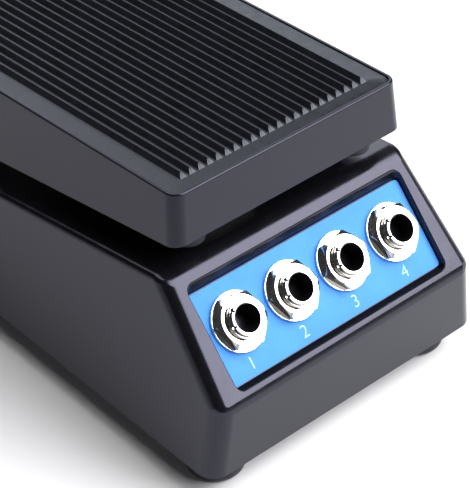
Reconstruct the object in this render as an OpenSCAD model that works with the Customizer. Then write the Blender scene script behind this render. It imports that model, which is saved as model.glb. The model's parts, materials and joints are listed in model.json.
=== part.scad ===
// Rocking volume pedal with four panel sockets.
// Origin: middle of the footprint, at the level the rubber feet stand on.
// +X is to the right seen from the toe end, +Y runs from the toe to the heel, +Z is up.
// The treadle is drawn where the foot has left it, a little short of fully toe down.

/* [Base shell] */
// Length of the base at its lower edge
base_len = 218; // [190:1:250]
// Width of the base at its lower edge
base_w = 86; // [82:0.5:100]
// Height of the upright front wall
front_h = 18; // [15:0.5:24]
// Length of the sloped socket panel, measured up the slope
slope_len = 32.5; // [31:0.5:38]
// Angle of the socket panel above horizontal
slope_ang = 44.5; // [40:0.5:50]
// Fall of the deck towards the heel
deck_ang = 9; // [7:0.25:9.5]
// Draft of the side walls
side_draft = 7.4; // [3:0.2:8]
// Draft of the front and rear walls
end_draft = 2.3; // [0:0.1:4]
// Moulded wall thickness of the base
base_wall = 2.5; // [2:0.1:3]
// Radius of the upright corners at the lower edge
corner_r = 4.5; // [3:0.5:6]
// Edge radius round the top of the base
deck_edge_r = 1.6; // [1:0.1:3]
// Edge radius at the lower corners of the socket panel
panel_edge_r = 3.2; // [1:0.1:4]

/* [Socket panel] */
// Width of the label plate
label_w = 66; // [64:0.5:68]
// Height of the label plate, up the slope
label_h = 22.6; // [21:0.1:23]
// Distance from the lower edge of the slope to the label plate
label_v = 3.8; // [3.6:0.1:4.4]
// Thickness of the label plate
label_t = 0.4; // [0.3:0.1:0.8]
// Corner radius of the label plate
label_r = 1; // [0.5:0.5:3]
// Gap between the label plate and the foot of the recess walls
label_gap = 0.2; // [0.1:0.1:0.5]
// Depth of the recess that holds the label plate
recess_d = 2.1; // [1.5:0.1:3]
// Lean of the lower wall of the recess away from the normal
recess_lean = 30; // [0:1:45]
// Thickness of the panel under the label plate
panel_t = 2; // [1.5:0.1:3]

/* [Sockets] */
// Number of sockets in the row
socket_n = 4; // [2:1:4]
// Spacing of the sockets
socket_pitch = 16.2; // [15.5:0.1:17]
// Height of the socket row above the lower edge of the slope
socket_v = 16.2; // [14:0.1:18]
// Bore of a socket, for a quarter-inch plug
socket_bore = 6.5; // [6.4:0.05:6.7]
// Outer diameter of the threaded sleeve
sleeve_d = 9; // [8.5:0.1:9.5]
// How far the sleeve stands above the label plate
sleeve_proud = 4.7; // [4:0.1:6]
// Pitch of the sleeve thread
thread_pitch = 0.75; // [0.5:0.05:1]
// Outer diameter of the washer
washer_d = 14.2; // [13:0.1:15]
// Thickness of the washer
washer_t = 0.8; // [0.5:0.1:1.2]
// Hex nut size across flats
nut_af = 12; // [11:0.1:12.2]
// Thickness of the hex nut
nut_t = 2.1; // [1.5:0.1:2.5]
// Width of a socket body
body_w = 14; // [12:0.5:15]
// Height of a socket body, across the row
body_h = 14.5; // [13:0.5:15]
// Depth of a socket body behind the panel
body_depth = 24.5; // [20:0.5:25]
// Thickness of the circuit board
board_t = 1.6; // [1:0.1:2]

/* [Treadle] */
// Length of the treadle top
treadle_len = 193; // [170:1:220]
// Width of the treadle top
treadle_w = 68.6; // [66:0.2:72]
// Fall of the treadle top towards the heel
treadle_tilt = 4.7; // [3:0.1:6]
// Height of the toe edge of the treadle top above the ground
toe_top_z = 68.9; // [66:0.1:76]
// Distance of the treadle toe edge from the front of the base
toe_setback = 24.3; // [20:0.1:30]
// Depth of the skirt at the toe and at the heel
skirt_end = 13.2; // [12:0.1:16]
// Depth of the skirt over the axle
skirt_mid = 22.3; // [20:0.1:24]
// Wall thickness of the treadle skirt
treadle_wall = 2; // [1.5:0.1:2.5]
// Thickness of the treadle roof under the mat
roof_t = 2.5; // [2:0.1:3]
// Radius of the upright corners of the treadle
treadle_r = 3.3; // [3:0.5:6]
// Edge radius of the treadle
treadle_edge = 0.8; // [0.4:0.1:1.5]

/* [Rubber mat] */
// Width of the rim left round the mat
rim_w = 0.9; // [0.8:0.1:2]
// Gap between the mat and the rim
mat_gap = 0.2; // [0.1:0.1:0.5]
// Depth of the pocket that holds the mat
mat_pocket = 2; // [1.5:0.1:2.5]
// Number of ribs on the mat
rib_n = 22; // [12:1:22]
// Spacing of the ribs
rib_pitch = 2.62; // [2.4:0.01:2.7]
// Height of the ribs above the flat border
rib_h = 1.1; // [0.6:0.1:1.5]
// Flat border between the treadle edge and the rib ends
border_end = 4.5; // [4:0.1:8]

/* [Pivot] */
// Diameter of the steel axle
axle_d = 5; // [4:0.1:6]
// Depth of the axle below the treadle top
axle_depth = 15.5; // [14:0.1:16]
// Radial clearance of the axle in its bushes
axle_clear = 0.05; // [0.02:0.01:0.1]
// Inner face of a pivot post, measured from the middle
post_x = 20; // [16:0.5:20]
// Thickness of a pivot post
post_t = 6; // [4:0.5:6]
// Radius of the top of a pivot post
post_r = 7; // [6:0.5:7.5]
// Wall thickness of the nylon bush
bush_wall = 1.45; // [1:0.05:2]
// Thickness of the flange of the bush
bush_flange = 1; // [0.8:0.1:1.2]
// Thickness of the friction washer
friction_t = 0.8; // [0.5:0.1:0.8]
// Length of the treadle boss round the axle
boss_len = 4.3; // [3:0.1:4.3]

/* [Gear drive] */
// Gear module
gear_m = 0.8; // [0.7:0.05:0.9]
// Teeth of the full circle that the quadrant belongs to
quad_z = 154; // [150:2:156]
// Teeth on the pinion
pinion_z = 14; // [13:1:16]
// Thinning of each tooth flank
backlash = 0.12; // [0.08:0.01:0.2]
// Width of the quadrant blade
quad_w = 5; // [4:0.5:6]
// Width of the pinion
pinion_w = 8; // [7:0.5:9]
// Angle of the mesh point below the axle, towards the toe
mesh_ang = 17; // [15:0.5:18]

/* [Potentiometer] */
// Diameter of the potentiometer case
pot_d = 17; // [15:0.5:17.5]
// Length of the two-gang case
pot_len = 16; // [12:0.5:18]
// Diameter of the potentiometer shaft
shaft_d = 6; // [5.5:0.1:6]
// Thickness of the bracket sheet
bracket_t = 1.5; // [1:0.1:2]

/* [Underside] */
// Height of the rubber feet
foot_h = 7.5; // [5:0.5:9]
// Diameter of the rubber feet
foot_d = 14; // [12:0.5:14]
// Distance of the feet from the middle, across
foot_x = 32.7; // [30:0.1:33]
// Distance of the feet from the front and rear of the base
foot_y = 9.9; // [9.8:0.1:14]
// Thickness of the bottom plate
plate_t = 2; // [1.5:0.1:2.5]
// Gap between the bottom plate and the walls
plate_gap = 0.3; // [0.2:0.1:0.5]
// Diameter of the rubber bumpers under the treadle
bumper_d = 8; // [6:0.5:8]
// How far the bumpers hang below the treadle top
bumper_drop = 18; // [17:0.1:19]
// Distance of the bumpers from the middle, across
bumper_x = 25.7; // [22:0.1:27]
// Distance of the bumpers from the ends of the treadle
bumper_t = 6.1; // [6.1:0.1:12]

/* [Hidden] */
SIDES = ["left", "right"];
ENDS = ["front", "rear"];

$fn = 64;
hull_fn = 32;
eps = 0.01;
fit = 0.1;             // radial clearance of a sleeve or screw in its hole
screw_r = 1.5;         // thread of the self-tapping screws
pilot_r = 1.25;        // core of the same screws, and the holes that they are driven into

// Base profile in the YZ plane, clockwise from the front lower edge
z0 = foot_h;
front_y = -base_len / 2;
heel_y = base_len / 2;
slope_y = front_y + front_h * tan(end_draft);
slope_z = z0 + front_h;
ridge_y = slope_y + slope_len * cos(slope_ang);
ridge_z = slope_z + slope_len * sin(slope_ang);
rear_y = heel_y - (deck_z(heel_y) - z0) * tan(end_draft);
base_profile = [[front_y, z0], [slope_y, slope_z], [ridge_y, ridge_z],
  [rear_y, deck_z(rear_y)], [heel_y, z0]];

function deck_z(y) = ridge_z - (y - ridge_y) * tan(deck_ang);
function half_w(z) = base_w / 2 - (z - z0) * tan(side_draft);
function unit(v) = v / norm(v);
function cross2(u, v) = u[0] * v[1] - u[1] * v[0];
// Corner b of a clockwise outline, with the edge before it moved in by d1 and the one after by d2
function inset_pt(a, b, c, d1, d2) =
  let(u = unit(b - a), v = unit(c - b),
      p = b + d1 * [u[1], -u[0]], q = b + d2 * [v[1], -v[0]])
  p + u * cross2(q - p, v) / cross2(u, v);

// Socket panel, as heights above the slope's own plane
panel_depth = recess_d + panel_t;
label_mid = label_v + label_h / 2;
label_top = label_t - recess_d;
washer_top = label_top + washer_t;
nut_top = washer_top + nut_t;
sleeve_top = label_top + sleeve_proud;
sleeve_back = -panel_depth - 3;
body_back = -panel_depth - body_depth;
board_v = socket_v + body_h / 2;
board_w = socket_pitch * (socket_n - 1) + body_w + 2;
contact_h = [-9, -18];  // tip and ring contacts, behind the panel
function socket_x(i) = (i - (socket_n + 1) / 2) * socket_pitch;

// Treadle frame: y from the toe edge to the heel, z up from the top face
toe_y = front_y + toe_setback;
mid_t = treadle_len / 2;
axle_y = toe_y + mid_t * cos(treadle_tilt) - axle_depth * sin(treadle_tilt);
axle_z = toe_top_z - mid_t * sin(treadle_tilt) - axle_depth * cos(treadle_tilt);
roof_w = -mat_pocket - roof_t;
inner_x = treadle_w / 2 - treadle_wall;
stem_r = 1.6;
seat_w = 3 - skirt_end;          // lower face of the bumper seats

// Pivot stack along x
bush_r = axle_d / 2 + axle_clear + bush_wall;
flange_r = bush_r + 1.6;
post_out = post_x + post_t;
boss_x = inner_x - boss_len;

// Gears: a quadrant round the axle drives a pinion on the potentiometer
quad_r = gear_m * quad_z / 2;
pinion_r = gear_m * pinion_z / 2;
pot_y = axle_y - (quad_r + pinion_r) * cos(mesh_ang);
pot_z = axle_z - (quad_r + pinion_r) * sin(mesh_ang);
blade_depth = 8;       // radial width of the quadrant blade
blade_top = 9.5;       // degrees above the axle
blade_end = 31.5;      // degrees below the axle
teeth_before = 2;      // quadrant teeth above the mesh point
teeth_after = 6;       // and below it
quad_boss = 5;         // drop of the quadrant's bosses below the roof
quad_flange_t = 3;
quad_screw_t = [mid_t - 70, mid_t - 49];
quad_flange_w = roof_w - quad_boss - quad_flange_t;

// Potentiometer along x
bracket_x = -9;
case_x = bracket_x - bracket_t;
gang = pot_len / 2;
pad_z = pot_z + pot_d / 2 + 2.2;    // lower face of the pads for its bracket
pad_x = -18;
pad_dy = 12.5;
pinion_hub = 4;

// Underside
foot_cy = base_len / 2 - foot_y;
foot_seat = 4;         // screw seat inside a foot
foot_recess_r = 3.4;   // recess for the screw head
foot_round = 2.2;      // rounding of the lower edge
foot_taper = 0.4;
side_screw_x = half_w(z0) - base_wall - 5.5;
plate_w = 2 * (half_w(z0 + plate_t) - base_wall - plate_gap);
plate_l = 2 * (base_len / 2 - plate_t * tan(end_draft) - base_wall - plate_gap);

// ------------------------------------------------------------------ placing
module on_slope(x, v, h)
  translate([x, slope_y + v * cos(slope_ang) - h * sin(slope_ang),
             slope_z + v * sin(slope_ang) + h * cos(slope_ang)])
    rotate([slope_ang, 0, 0]) children();
module on_treadle() translate([0, toe_y, toe_top_z]) rotate([-treadle_tilt, 0, 0]) children();
module at_axle() translate([0, axle_y, axle_z]) children();
module at_pot() translate([0, pot_y, pot_z]) children();
module both_sides() for (m = [0, 1]) mirror([m, 0, 0]) children();
module in_yz(w) rotate([90, 0, 90]) linear_extrude(w, center = true) children();
module rod(x1, x2, r) translate([x1, 0, 0]) rotate([0, 90, 0]) cylinder(h = x2 - x1, r = r);
module ring(x1, x2, r, bore) difference() {
  rod(x1, x2, r);
  rod(x1 - 1, x2 + 1, bore);
}
module each_foot() for (sx = [-1, 1], sy = [-1, 1]) translate([sx * foot_x, sy * foot_cy, 0]) children();
module each_side_screw() for (sx = [-1, 1]) translate([sx * side_screw_x, 0, 0]) children();
module each_pad() for (sy = [-1, 1]) translate([pad_x, pot_y + sy * pad_dy, 0]) children();
module rounded_rect(w, h, r) {
  square([w - 2 * r, h], center = true);
  square([w, h - 2 * r], center = true);
  for (sx = [-1, 1], sy = [-1, 1]) translate([sx * (w / 2 - r), sy * (h / 2 - r)]) circle(r);
}
// Cross-head self-tapping screw that points up, its head below z = 0
module tapping_screw(len, head_r, head_h) {
  difference() {
    translate([0, 0, -head_h]) cylinder(h = head_h, r = head_r);
    for (a = [0, 90]) rotate(a) translate([-head_r * 0.6, -0.35, -head_h - 1])
      cube([head_r * 1.2, 0.7, 1 + head_h * 0.6]);
  }
  cylinder(h = len, r = pilot_r);
}

// ------------------------------------------------------------------ base shell
module base_outer()
  hull() {
    for (sx = [-1, 1], sy = [-1, 1])
      translate([sx * (base_w / 2 - corner_r), sy * (base_len / 2 - corner_r), z0])
        cylinder(h = 0.5, r = corner_r, $fn = hull_fn);
    for (e = [[1, panel_edge_r], [2, deck_edge_r], [3, deck_edge_r]], sx = [-1, 1]) {
      i = e[0];
      c = inset_pt(base_profile[i - 1], base_profile[i], base_profile[i + 1], e[1], e[1]);
      translate([sx * (half_w(c[1]) - e[1] / cos(side_draft)), c[0], c[1]])
        sphere(e[1], $fn = hull_fn);
    }
  }

module base_cavity() {
  p = base_profile;
  below = z0 - 1;
  low_w = half_w(below) - base_wall;
  high_w = half_w(ridge_z) - base_wall;
  intersection() {
    in_yz(base_w) polygon([[front_y + base_wall, below],
      inset_pt(p[0], p[1], p[2], base_wall, panel_depth),
      inset_pt(p[1], p[2], p[3], panel_depth, base_wall),
      inset_pt(p[2], p[3], p[4], base_wall, base_wall), [heel_y - base_wall, below]]);
    rotate([90, 0, 0]) linear_extrude(base_len, center = true)
      polygon([[-low_w, below], [-high_w, ridge_z], [high_w, ridge_z], [low_w, below]]);
  }
}

module pivot_post(sx)
  translate([sx * (post_x + post_t / 2), axle_y, 0]) {
    root_z = deck_z(axle_y) - 1;
    translate([-post_t / 2, -post_r, root_z]) cube([post_t, 2 * post_r, axle_z - root_z]);
    translate([0, 0, axle_z]) rod(-post_t / 2, post_t / 2, post_r);
    translate([-post_t / 2 - 1, -post_r - 1.5, root_z]) cube([post_t + 2, 2 * post_r + 3, 2.5]);
  }

module base_bosses() {
  each_foot() translate([0, 0, z0 + plate_t]) {
    cylinder(h = 9, r = 3.5);
    translate([-9, -1.2, 0]) cube([18, 2.4, 9]);
  }
  each_side_screw() translate([0, 0, z0 + plate_t]) {
    cylinder(h = 12, r = 3.5);
    translate([-6, -1.2, 0]) cube([12, 2.4, 12]);
  }
  each_pad() translate([0, 0, pad_z]) cylinder(h = 9, r = 3.5);
  for (y = [45, 75]) translate([-base_w / 2, y, deck_z(y) - 7]) cube([base_w, 1.6, 6]);
}

// The mould pulls upwards, so the upper wall of the recess is upright and the lower one leans out
module recess() {
  w = label_w + 2 * label_gap;
  h = label_h + 2 * label_gap;
  lean = recess_d * tan(recess_lean);
  rise = recess_d * tan(slope_ang);
  hull() {
    on_slope(0, label_mid, -recess_d) linear_extrude(eps) rounded_rect(w, h, label_r);
    on_slope(0, label_mid + (rise - lean) / 2, 0) linear_extrude(eps)
      rounded_rect(w, h + rise + lean, label_r + 1);
  }
}

module base_shell() color("#26272b")
  difference() {
    union() {
      difference() {
        base_outer();
        base_cavity();
      }
      intersection() {
        base_outer();
        base_bosses();
      }
      for (sx = [-1, 1]) pivot_post(sx);
    }
    recess();
    for (i = [1:socket_n]) on_slope(socket_x(i), socket_v, -panel_depth - 1)
      cylinder(h = panel_t + 2, r = sleeve_d / 2 + fit);
    // Slot that the quadrant passes through
    translate([-quad_w / 2 - 1.5, axle_y - quad_r - gear_m - 1.7, z0 + 14])
      cube([quad_w + 3, gear_m + blade_depth + 3.4, ridge_z]);
    at_axle() rod(-post_out - 1, post_out + 1, bush_r);
    each_foot() translate([0, 0, z0]) cylinder(h = plate_t + 8, r = pilot_r);
    each_side_screw() translate([0, 0, z0]) cylinder(h = plate_t + 10, r = pilot_r);
    each_pad() translate([0, 0, pad_z - 1]) cylinder(h = 4.5, r = pilot_r);
  }

// ------------------------------------------------------------------ underside
module bottom_plate() color("#34363b")
  difference() {
    translate([0, 0, z0]) linear_extrude(plate_t) rounded_rect(plate_w, plate_l, 2);
    each_foot() translate([0, 0, z0 - 1]) cylinder(h = plate_t + 2, r = screw_r + fit);
    each_side_screw() translate([0, 0, z0 - 1]) {
      cylinder(h = plate_t + 2, r = screw_r + fit);
      cylinder(h = 1 + plate_t / 2, r = 3);
    }
  }

module plate_screws() color("silver")
  each_side_screw() translate([0, 0, z0 + plate_t / 2]) tapping_screw(9, 2.8, 0.9);

module foot_screws() color("silver")
  each_foot() translate([0, 0, foot_seat]) tapping_screw(12, 3, 1.6);

module foot(sx, sy) color("#232427")
  translate([sx * foot_x, sy * foot_cy, 0]) rotate_extrude() {
    wide = foot_d / 2;
    polygon(concat([[screw_r, foot_seat], [foot_recess_r, foot_seat], [foot_recess_r, 0]],
      [for (a = [-90:18:0]) [wide - foot_round * (1 - cos(a)), foot_round * (1 + sin(a))]],
      [[wide - foot_taper, z0], [screw_r, z0]]));
  }

// ------------------------------------------------------------------ sockets
module label_plate() color("#73c0ff")
  difference() {
    on_slope(0, label_mid, -recess_d) linear_extrude(label_t) rounded_rect(label_w, label_h, label_r);
    for (i = [1:socket_n]) on_slope(socket_x(i), socket_v, -recess_d - 1)
      cylinder(h = label_t + 2, r = sleeve_d / 2 + fit);
  }

module socket_washers() color("gainsboro")
  for (i = [1:socket_n]) on_slope(socket_x(i), socket_v, label_top) difference() {
    cylinder(h = washer_t, r = washer_d / 2);
    translate([0, 0, -1]) cylinder(h = washer_t + 2, r = sleeve_d / 2 + fit);
  }

module socket_nuts() color("gainsboro")
  for (i = [1:socket_n]) on_slope(socket_x(i), socket_v, washer_top) difference() {
    cylinder(h = nut_t, r = nut_af / 2 / cos(30), $fn = 6);
    translate([0, 0, -1]) cylinder(h = nut_t + 2, r = sleeve_d / 2 + fit / 2);
    // Chamfer of the six corners
    rotate_extrude() polygon([[nut_af / 2, nut_t + 1], [nut_af / 2, nut_t],
      [nut_af / 2 + 2, nut_t - 1.2], [nut_af / 2 + 2, nut_t + 1]]);
  }

module socket_sleeve(i) color("gainsboro")
  on_slope(socket_x(i), socket_v, 0) {
    r = sleeve_d / 2;
    groove = thread_pitch * 0.45;
    difference() {
      rotate_extrude() polygon(concat([[socket_bore / 2, sleeve_back], [r, sleeve_back]],
        [for (k = [0:2]) let(h = nut_top - 0.2 + k * thread_pitch)
          each [[r, h], [r - groove, h + thread_pitch / 2]]],
        [[r, sleeve_top - 0.4], [r - 0.4, sleeve_top], [socket_bore / 2, sleeve_top]]));
      for (a = [25, 155, 205, 335]) rotate(a)
        translate([socket_bore / 2 - 1, -0.45, sleeve_top - 0.7]) cube([4, 0.9, 2]);
    }
  }

module socket_body(i) color("#1d1e21")
  on_slope(socket_x(i), socket_v, 0) difference() {
    translate([-body_w / 2, -body_h / 2, body_back]) cube([body_w, body_h, body_depth]);
    translate([0, 0, sleeve_back]) cylinder(h = 4, r = sleeve_d / 2);
    translate([0, 0, body_back - 1]) cylinder(h = body_depth, r = socket_bore / 2 + 0.2);
    // Chambers of the contact springs and of the sleeve's earth tag
    for (h = contact_h) translate([-1.6, socket_bore / 2 - 1, h - panel_depth - 2])
      cube([3.2, body_h, 4]);
    translate([3.6, 2, -panel_depth - 5.6]) cube([1.4, body_h, 2.6]);
  }

module socket_contacts(i) color("goldenrod")
  on_slope(socket_x(i), socket_v, -panel_depth) {
    strip_v = socket_bore / 2 + 0.3;
    pin_v = body_h / 2 - 1.2;
    for (h = contact_h) translate([0, 0, h]) {
      translate([-1.2, strip_v, -1.6]) cube([2.4, 0.4, 3.2]);
      translate([-1.2, strip_v, 1.2]) cube([2.4, pin_v - strip_v + 0.4, 0.4]);
      translate([-0.5, pin_v, 1.2]) cube([1, board_t + 2.2, 0.4]);
    }
    translate([3.9, 3.2, -4.8]) cube([0.8, body_h / 2 + board_t - 2.2, 1]);
  }

module circuit_board() color("#1f6b3a")
  difference() {
    on_slope(0, board_v, body_back - 1.5)
      translate([-board_w / 2, 0, 0]) cube([board_w, board_t, body_depth + 0.5]);
    for (i = [1:socket_n]) on_slope(socket_x(i), board_v, -panel_depth) {
      for (h = contact_h) translate([-0.6, -1, h + 1.1]) cube([1.2, board_t + 2, 0.6]);
      translate([3.8, -1, -4.9]) cube([1, board_t + 2, 1.2]);
    }
  }

// ------------------------------------------------------------------ potentiometer
module pot_bracket() color("lightsteelblue")
  difference() {
    union() {
      translate([case_x, pot_y - 10, pot_z - 9]) cube([bracket_t, 20, pad_z - pot_z + 9]);
      translate([pad_x - 5, pot_y - pad_dy - 4, pad_z - bracket_t])
        cube([bracket_x - pad_x + 5, 2 * pad_dy + 8, bracket_t]);
    }
    at_pot() rod(case_x - 1, bracket_x + 1, 3.5 + fit);
    each_pad() translate([0, 0, pad_z - bracket_t - 1]) cylinder(h = bracket_t + 2, r = screw_r + fit);
  }

module bracket_screws() color("silver")
  each_pad() translate([0, 0, pad_z - bracket_t]) tapping_screw(4.5, 2.6, 1.4);

function lug_x(g) = case_x - gang * (g + 0.5);
module pot_case() color("#8d9094")
  at_pot() difference() {
    union() {
      rod(case_x - pot_len, case_x, pot_d / 2 - 0.8);
      for (g = [0, 1]) {
        rod(case_x - gang * (g + 1) + 0.5, case_x - gang * g - 1.5, pot_d / 2);
        for (k = [-1, 0, 1]) translate([lug_x(g), -pot_d / 2 - 4, k * 4 - 0.6]) cube([0.8, 8, 1.2]);
      }
    }
    rod(case_x - 6, case_x + 1, shaft_d / 2 + 0.05);
  }

module pot_bushing() color("silver") at_pot() ring(case_x, case_x + 4.5, 3.5, shaft_d / 2 + 0.05);
module pot_washer() color("silver") at_pot() ring(bracket_x, bracket_x + 0.5, 5.5, 3.5 + fit);
module pot_nut() color("silver")
  at_pot() difference() {
    translate([bracket_x + 0.5, 0, 0]) rotate([0, 90, 0]) cylinder(h = 2, r = 5 / cos(30), $fn = 6);
    rod(bracket_x - 1, bracket_x + 4, 3.5 + fit / 2);
  }

module pot_shaft() color("silver")
  at_pot() rod(case_x - 5, pinion_w / 2 + pinion_hub + 0.5, shaft_d / 2);

// A wire bent along a curve from a to d, pulled towards b and c on the way
function bezier(a, b, c, d, t) =
  pow(1 - t, 3) * a + 3 * t * pow(1 - t, 2) * b + 3 * t * t * (1 - t) * c + pow(t, 3) * d;
module wire(a, b, c, d) {
  r = 0.6;
  rings = 10;
  sides = 8;
  path = [for (k = [0:rings]) bezier(a, b, c, d, k / rings)];
  points = [for (k = [0:rings])
    let(along = unit(path[min(k + 1, rings)] - path[max(k - 1, 0)]),
        u = unit(cross(along, [1, 0, 0])), v = cross(along, u))
    for (j = [0:sides - 1]) path[k] + r * (cos(j * 360 / sides) * u + sin(j * 360 / sides) * v)];
  skin = [for (k = [0:rings - 1], j = [0:sides - 1]) let(n = (j + 1) % sides)
    [k * sides + j, (k + 1) * sides + j, (k + 1) * sides + n, k * sides + n]];
  polyhedron(points, concat(skin,
    [[for (j = [0:sides - 1]) j], [for (j = [sides - 1:-1:0]) rings * sides + j]]));
}

// Six wires from the potentiometer's lugs to the rear edge of the board
module wiring_loom() color("firebrick") {
  pad_v = board_v + board_t;
  pad_h = body_back + 1;
  up = [0, cos(slope_ang), sin(slope_ang)];
  for (g = [0, 1], k = [-1, 0, 1]) {
    lug = [lug_x(g) + 0.4, pot_y - pot_d / 2 - 4, pot_z + k * 4];
    pad = [lug[0] + k * 2.2, slope_y + pad_v * cos(slope_ang) - pad_h * sin(slope_ang),
      slope_z + pad_v * sin(slope_ang) + pad_h * cos(slope_ang)];
    wire(lug, lug + [0, -2.5, 0], pad + up * 3.5, pad);
  }
}

// ------------------------------------------------------------------ gears
function involute_ang(rb, r) = let(a = acos(min(1, rb / r))) tan(a) * 180 / PI - a;
// Half angle of a tooth at radius r; both flanks are thinned by half the backlash
function half_tooth(rp, z, r) =
  90 / z - backlash / 2 / rp * 180 / PI + involute_ang(rp * cos(20), rp)
  - involute_ang(rp * cos(20), max(r, rp * cos(20)));
// n teeth of a gear with z teeth, the first one centred on angle a0
function teeth(z, n, a0, addendum) =
  let(rp = gear_m * z / 2, root = rp - 1.25 * gear_m, tip = rp + addendum * gear_m,
      rr = [for (j = [0:4]) root + (tip - root) * j / 4])
  [for (k = [0:n - 1]) each concat(
    [for (j = [0:4]) let(a = a0 + k * 360 / z - half_tooth(rp, z, rr[j])) rr[j] * [cos(a), sin(a)]],
    [for (j = [4:-1:0]) let(a = a0 + k * 360 / z + half_tooth(rp, z, rr[j])) rr[j] * [cos(a), sin(a)]])];

module pinion() color("ivory")
  at_pot() difference() {
    union() {
      in_yz(pinion_w) polygon(teeth(pinion_z, pinion_z, mesh_ang + 180 / pinion_z, 0.9));
      rod(pinion_w / 2 - 1, pinion_w / 2 + pinion_hub, 6);
    }
    rod(-pinion_w, 2 * pinion_w, shaft_d / 2);
    translate([pinion_w / 2 + pinion_hub / 2, 0, 0]) cylinder(h = 9, r = pilot_r);
  }

module pinion_screw() color("silver")
  at_pot() translate([pinion_w / 2 + pinion_hub / 2, 0, shaft_d / 2]) cylinder(h = 2.6, r = pilot_r);

module quadrant() color("ivory")
  difference() {
    union() {
      at_axle() in_yz(quad_w) {
        intersection() {
          difference() {
            circle(quad_r - 1.25 * gear_m + eps, $fn = 256);
            circle(quad_r + gear_m - blade_depth, $fn = 256);
          }
          polygon([[0, 0], 99 * [-cos(blade_top), sin(blade_top)], 99 * [-cos(blade_end), -sin(blade_end)]]);
        }
        polygon(teeth(quad_z, teeth_before + teeth_after + 1,
          180 + mesh_ang - teeth_before * 360 / quad_z, 0.7));
      }
      on_treadle() translate([-8, quad_screw_t[0] - 4, quad_flange_w])
        cube([16, quad_screw_t[1] - quad_screw_t[0] + 8, quad_flange_t]);
    }
    on_treadle() for (t = quad_screw_t) translate([0, t, quad_flange_w - 1])
      cylinder(h = quad_flange_t + 2, r = screw_r + fit);
  }

module quadrant_screws() color("silver")
  on_treadle() for (t = quad_screw_t) translate([0, t, quad_flange_w]) tapping_screw(8.5, 2.6, 1.4);

// ------------------------------------------------------------------ pivot
module bush(m) color("ivory")
  at_axle() mirror([m, 0, 0]) difference() {
    union() {
      rod(post_x, post_out + bush_flange, bush_r);
      rod(post_out, post_out + bush_flange, flange_r);
    }
    rod(post_x - 1, post_out + bush_flange + 1, axle_d / 2 + axle_clear);
  }

module friction_washers() color("#6b3f2a")
  at_axle() both_sides() ring(boss_x - friction_t, boss_x, flange_r, axle_d / 2 + fit);

module axle() color("silver")
  at_axle() rod(0.4 - treadle_w / 2, treadle_w / 2 - 0.4, axle_d / 2);

// ------------------------------------------------------------------ treadle
module treadle_outer() {
  e = treadle_edge;
  r = treadle_r;
  flare = 1;           // every face leans out by this much towards the skirt's lower edge
  keel_r = 9;          // rounding of the skirt's lowest point, under the axle
  hull() {
    for (sx = [-1, 1], s = [0, 1]) {
      t = s ? treadle_len - r : r;
      translate([sx * (treadle_w / 2 - r), t, 0]) {
        translate([0, 0, -e]) cylinder(h = e * 0.4, r = r, $fn = hull_fn);
        translate([0, 0, -e]) cylinder(h = e, r = r - e * 0.6, $fn = hull_fn);
        translate([sx * flare, (2 * s - 1) * flare, -skirt_end]) {
          translate([0, 0, e]) cylinder(h = 0.2, r = r, $fn = hull_fn);
          cylinder(h = 1, r = r - e * 0.6, $fn = hull_fn);
        }
      }
    }
    translate([0, mid_t, keel_r - skirt_mid]) rotate([0, 90, 0]) {
      keel_x = treadle_w + 2 * flare * (skirt_mid - keel_r / 2) / skirt_end;
      cylinder(h = keel_x - 2 * e, r = keel_r, center = true, $fn = hull_fn);
      cylinder(h = keel_x, r = keel_r - e, center = true, $fn = hull_fn);
    }
  }
}

module treadle_fittings() {
  both_sides() {
    // Axle boss, hung from the roof by a web
    translate([0, mid_t, -axle_depth]) rod(boss_x, inner_x + eps, 6);
    translate([boss_x, mid_t - 1.5, -axle_depth])
      cube([boss_len, 3, axle_depth + roof_w + eps]);
    // Seats of the bumpers
    for (t = [bumper_t, treadle_len - bumper_t])
      translate([bumper_x, t, seat_w]) cylinder(h = roof_w - seat_w + eps, r = 3.6);
    // Stiffening rib
    translate([13, 1, roof_w - 3]) cube([1.6, treadle_len - 2, 3 + eps]);
  }
  for (t = quad_screw_t) translate([0, t, roof_w - quad_boss])
    cylinder(h = quad_boss + eps, r = 3.5);
}

module treadle_shell() color("#2a2b30")
  on_treadle() difference() {
    union() {
      difference() {
        treadle_outer();
        translate([-inner_x, treadle_wall, roof_w - 40])
          cube([2 * inner_x, treadle_len - 2 * treadle_wall, 40]);
      }
      treadle_fittings();
    }
    translate([0, treadle_len / 2, -mat_pocket]) linear_extrude(mat_pocket + 1)
      rounded_rect(treadle_w - 2 * rim_w, treadle_len - 2 * rim_w, treadle_r - rim_w);
    translate([0, mid_t, -axle_depth]) rod(-treadle_w, treadle_w, axle_d / 2);
    both_sides() for (t = [bumper_t, treadle_len - bumper_t])
      translate([bumper_x, t, seat_w - 1]) cylinder(h = 5, r = stem_r);
    for (t = quad_screw_t) translate([0, t, roof_w - quad_boss - 1]) cylinder(h = 7, r = pilot_r);
  }

// The mat fills its pocket to just under the rim, and its ribs stand above it
module rubber_mat() color("#30333b")
  on_treadle() {
    side = rim_w + mat_gap;
    border_w = -0.3;
    crest = 0.5;
    run = treadle_len - 2 * border_end;
    translate([0, treadle_len / 2, -mat_pocket]) linear_extrude(mat_pocket + border_w)
      rounded_rect(treadle_w - 2 * side, treadle_len - 2 * side, treadle_r - side);
    translate([0, treadle_len - border_end, border_w]) rotate([90, 0, 0]) linear_extrude(run)
      polygon(concat(
        [for (k = [0:rib_n - 1]) let(x = (k - (rib_n - 1) / 2) * rib_pitch)
          each [[x - rib_pitch / 2, 0], [x - crest / 2, rib_h], [x + crest / 2, rib_h]]],
        [[rib_n * rib_pitch / 2, 0], [rib_n * rib_pitch / 2, -1], [-rib_n * rib_pitch / 2, -1]]));
  }

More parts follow.
